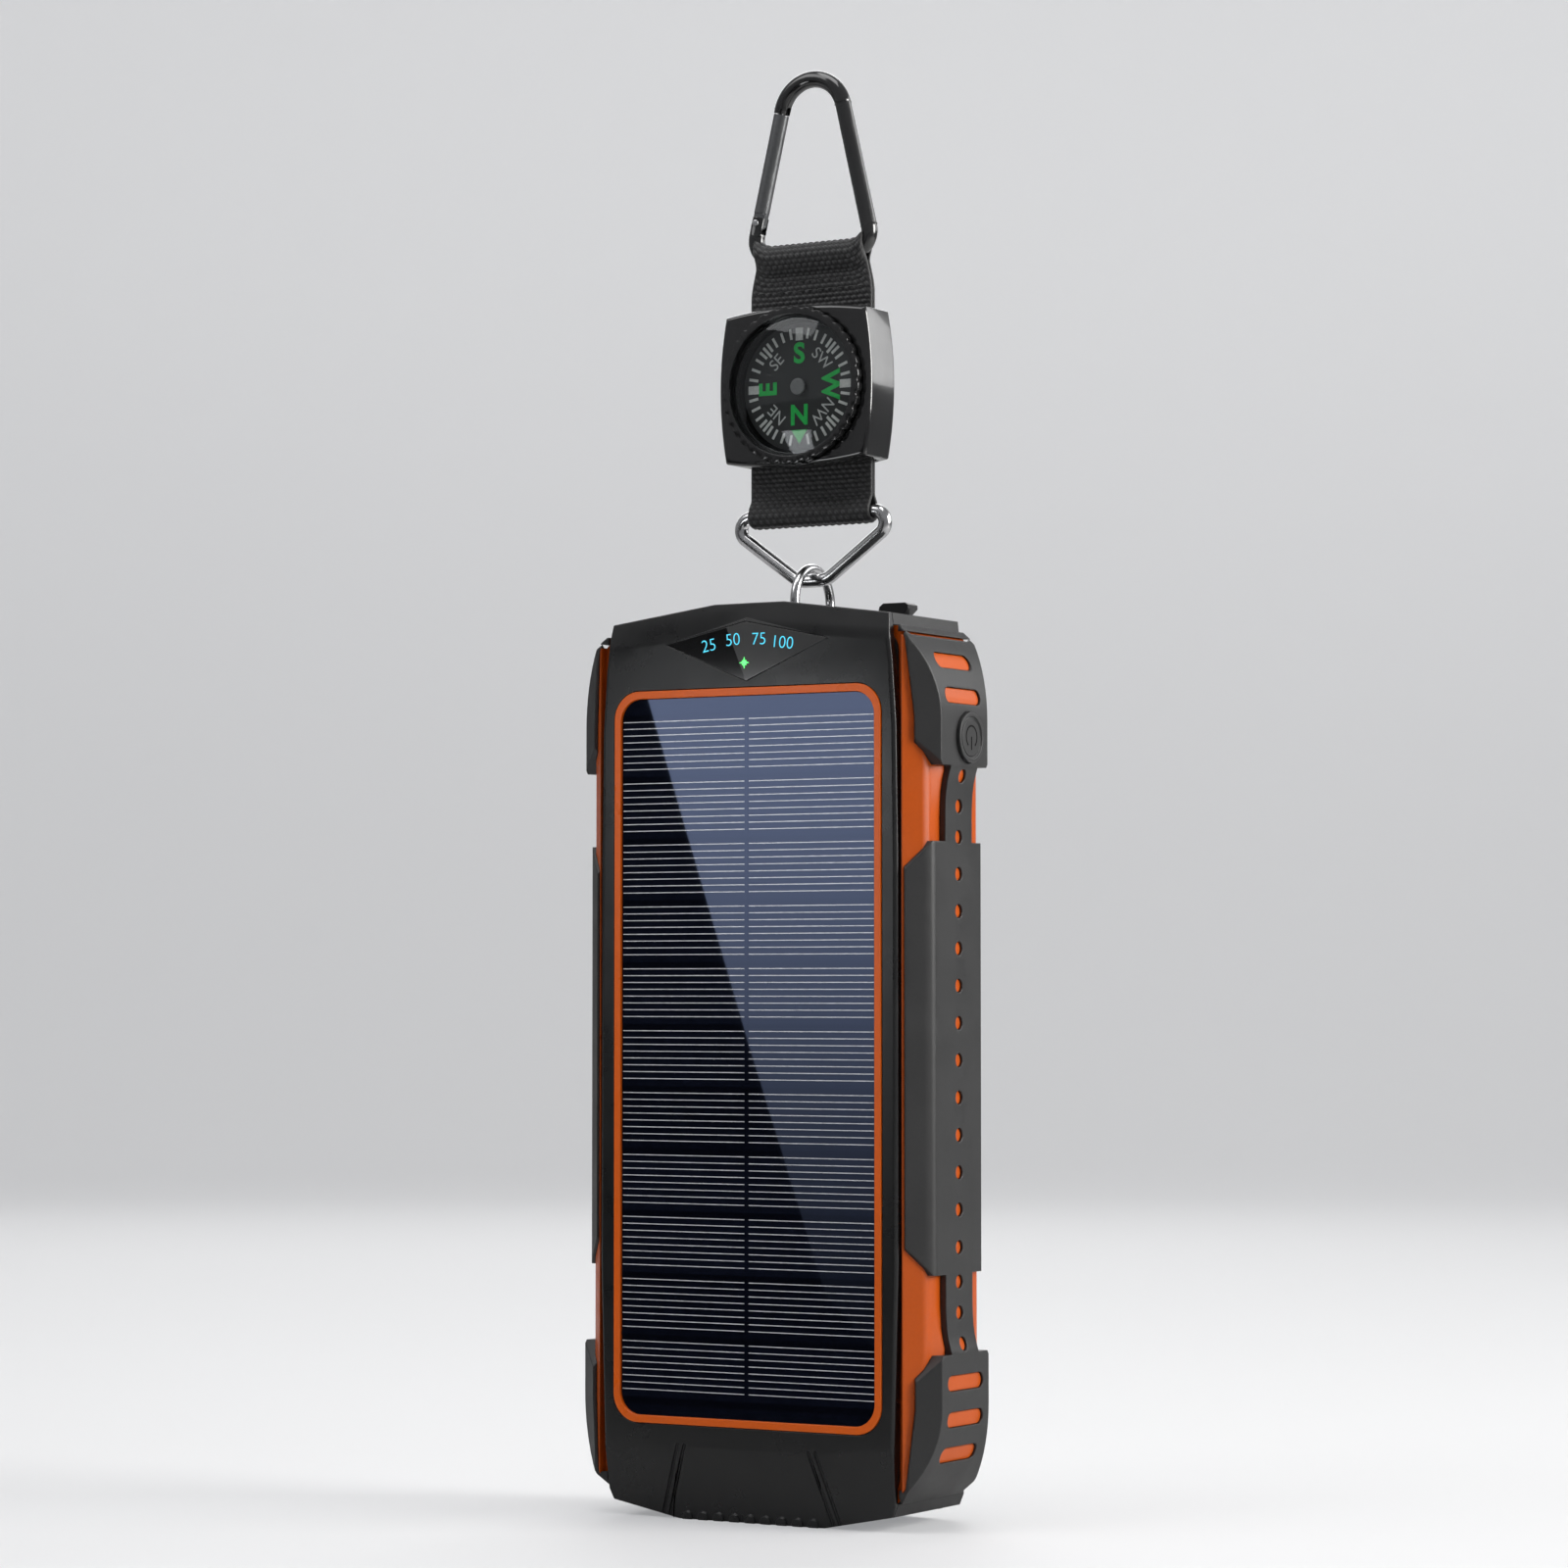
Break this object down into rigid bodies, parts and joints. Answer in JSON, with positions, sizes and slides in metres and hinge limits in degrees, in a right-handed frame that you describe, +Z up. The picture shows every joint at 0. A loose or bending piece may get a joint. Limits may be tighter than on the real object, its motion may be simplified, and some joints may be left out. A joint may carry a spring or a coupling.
{
  "type": "solar power bank with compass strap",
  "caption": "Rugged pocket solar power bank with wireless pad, work light, side guards and port flap, joined by a ring to a webbing strap with a compass and a carabiner.",
  "frame": {"origin": "centre of the resting face at the lower end of the case", "axes": "+Z up along the case, the solar panel faces -Y, the wireless pad faces +Y, the power button is on the +X side"},
  "size_m": [0.0735, 0.0302, 0.2575],
  "materials": {
    "front_shell": "satin injection-moulded ABS",
    "back_shell": "fine satin texture",
    "frame_orange": "smooth satin orange",
    "guard_rubber": "soft matte rubber",
    "trim_orange": "smooth orange",
    "solar_cells": "glossy epoxy over dark cells",
    "smoked_window": "polished smoked acrylic",
    "board_green": "solder mask",
    "chip_black": "moulded package",
    "cell_foil": "soft silver foil",
    "foam_grey": "closed-cell foam",
    "socket_steel": "plated steel",
    "switch_steel": "plated steel",
    "button_rubber": "matte rubber",
    "led_board_white": "white solder mask",
    "diffuser_white": "milky acrylic",
    "copper_coil": "enamelled copper",
    "ferrite_grey": "dull ferrite",
    "gloss_black": "polished",
    "torch_clear": "clear moulded lens",
    "loop_black": "glossy black paint",
    "seal_black": "silicone",
    "screw_steel": "blackened steel",
    "flap_rubber": "matte rubber",
    "ring_steel": "nickel plated",
    "webbing_black": "coarse woven nylon",
    "compass_black": "polished ABS",
    "bezel_black": "polished ABS",
    "card_black": "printed dial",
    "pivot_steel": "turned",
    "lens_clear": "clear domed acrylic",
    "clip_black": "glossy black anodised",
    "gate_grey": "brushed grey",
    "pin_steel": "polished rivet"
  },
  "bodies": {
    "case": {"front_cover": "front_shell", "mid_frame": "frame_orange", "back_cover": "back_shell", "left_guard": "guard_rubber", "right_guard": "guard_rubber", "solar_trim_ring": "trim_orange", "solar_panel": "solar_cells", "indicator_lens": "smoked_window", "indicator_board": "board_green", "battery_cells": "cell_foil", "battery_pads": "foam_grey", "main_board": "board_green", "board_chips": "chip_black", "port_board": "board_green", "usb_a_sockets": "socket_steel", "usb_c_socket": "socket_steel", "button_board": "board_green", "power_switch": "switch_steel", "light_board": "led_board_white", "light_diffuser": "diffuser_white", "wireless_coil": "copper_coil", "ferrite_sheet": "ferrite_grey", "pad_ring": "gloss_black", "pad_disc": "gloss_black", "torch_lights": "torch_clear", "lanyard_loop": "loop_black", "case_seal": "seal_black", "case_screws": "screw_steel", "board_screws": "screw_steel"},
    "button": {"power_button": "button_rubber"},
    "flap": {"port_cover": "flap_rubber"},
    "link": {"split_ring": "ring_steel"},
    "dring": {"d_ring": "ring_steel"},
    "strap": {"strap_webbing": "webbing_black", "compass_housing": "compass_black", "compass_capsule": "compass_black", "compass_pivot": "pivot_steel", "compass_lens": "lens_clear"},
    "bezel": {"compass_bezel": "bezel_black"},
    "card": {"compass_card": "card_black"},
    "clip": {"carabiner_body": "clip_black", "gate_pin": "pin_steel"},
    "gate": {"carabiner_gate": "gate_grey"}
  },
  "joints": [
    {"name": "power_button_press", "type": "slide", "parent": "case", "child": "button", "axis": [-1, 0, 0], "range_m": [0, 0.0005], "stiffness_N_per_m": 900},
    {"name": "port_cover_hinge", "type": "hinge", "parent": "case", "child": "flap", "pos_m": [0, 0.0122, 0.0185], "axis": [1, 0, 0], "range_deg": [0, 95]},
    {"name": "split_ring_swing", "type": "hinge", "parent": "case", "child": "link", "pos_m": [0, 0.01, 0.1576], "axis": [1, 0, 0], "range_deg": [-60, 15]},
    {"name": "d_ring_swing", "type": "hinge", "parent": "link", "child": "dring", "pos_m": [0, 0.01, 0.1655], "axis": [1, 0, 0], "range_deg": [-45, 45]},
    {"name": "strap_swing", "type": "hinge", "parent": "dring", "child": "strap", "pos_m": [0, 0.01, 0.1775], "axis": [1, 0, 0], "range_deg": [-40, 40]},
    {"name": "carabiner_swing", "type": "hinge", "parent": "strap", "child": "clip", "pos_m": [0, 0.01, 0.224], "axis": [1, 0, 0], "range_deg": [-70, 70]},
    {"name": "gate_open", "type": "hinge", "parent": "clip", "child": "gate", "pos_m": [-0.01114, 0.01, 0.23076], "axis": [0, 1, 0], "range_deg": [0, 28], "stiffness_Nm_per_rad": 0.02},
    {"name": "compass_bezel_turn", "type": "hinge", "parent": "strap", "child": "bezel", "pos_m": [0, 0.0035, 0.1999], "axis": [0, 1, 0], "continuous": true},
    {"name": "compass_card_turn", "type": "hinge", "parent": "strap", "child": "card", "pos_m": [0, 0.0057, 0.1999], "axis": [0, 1, 0], "continuous": true}
  ]
}
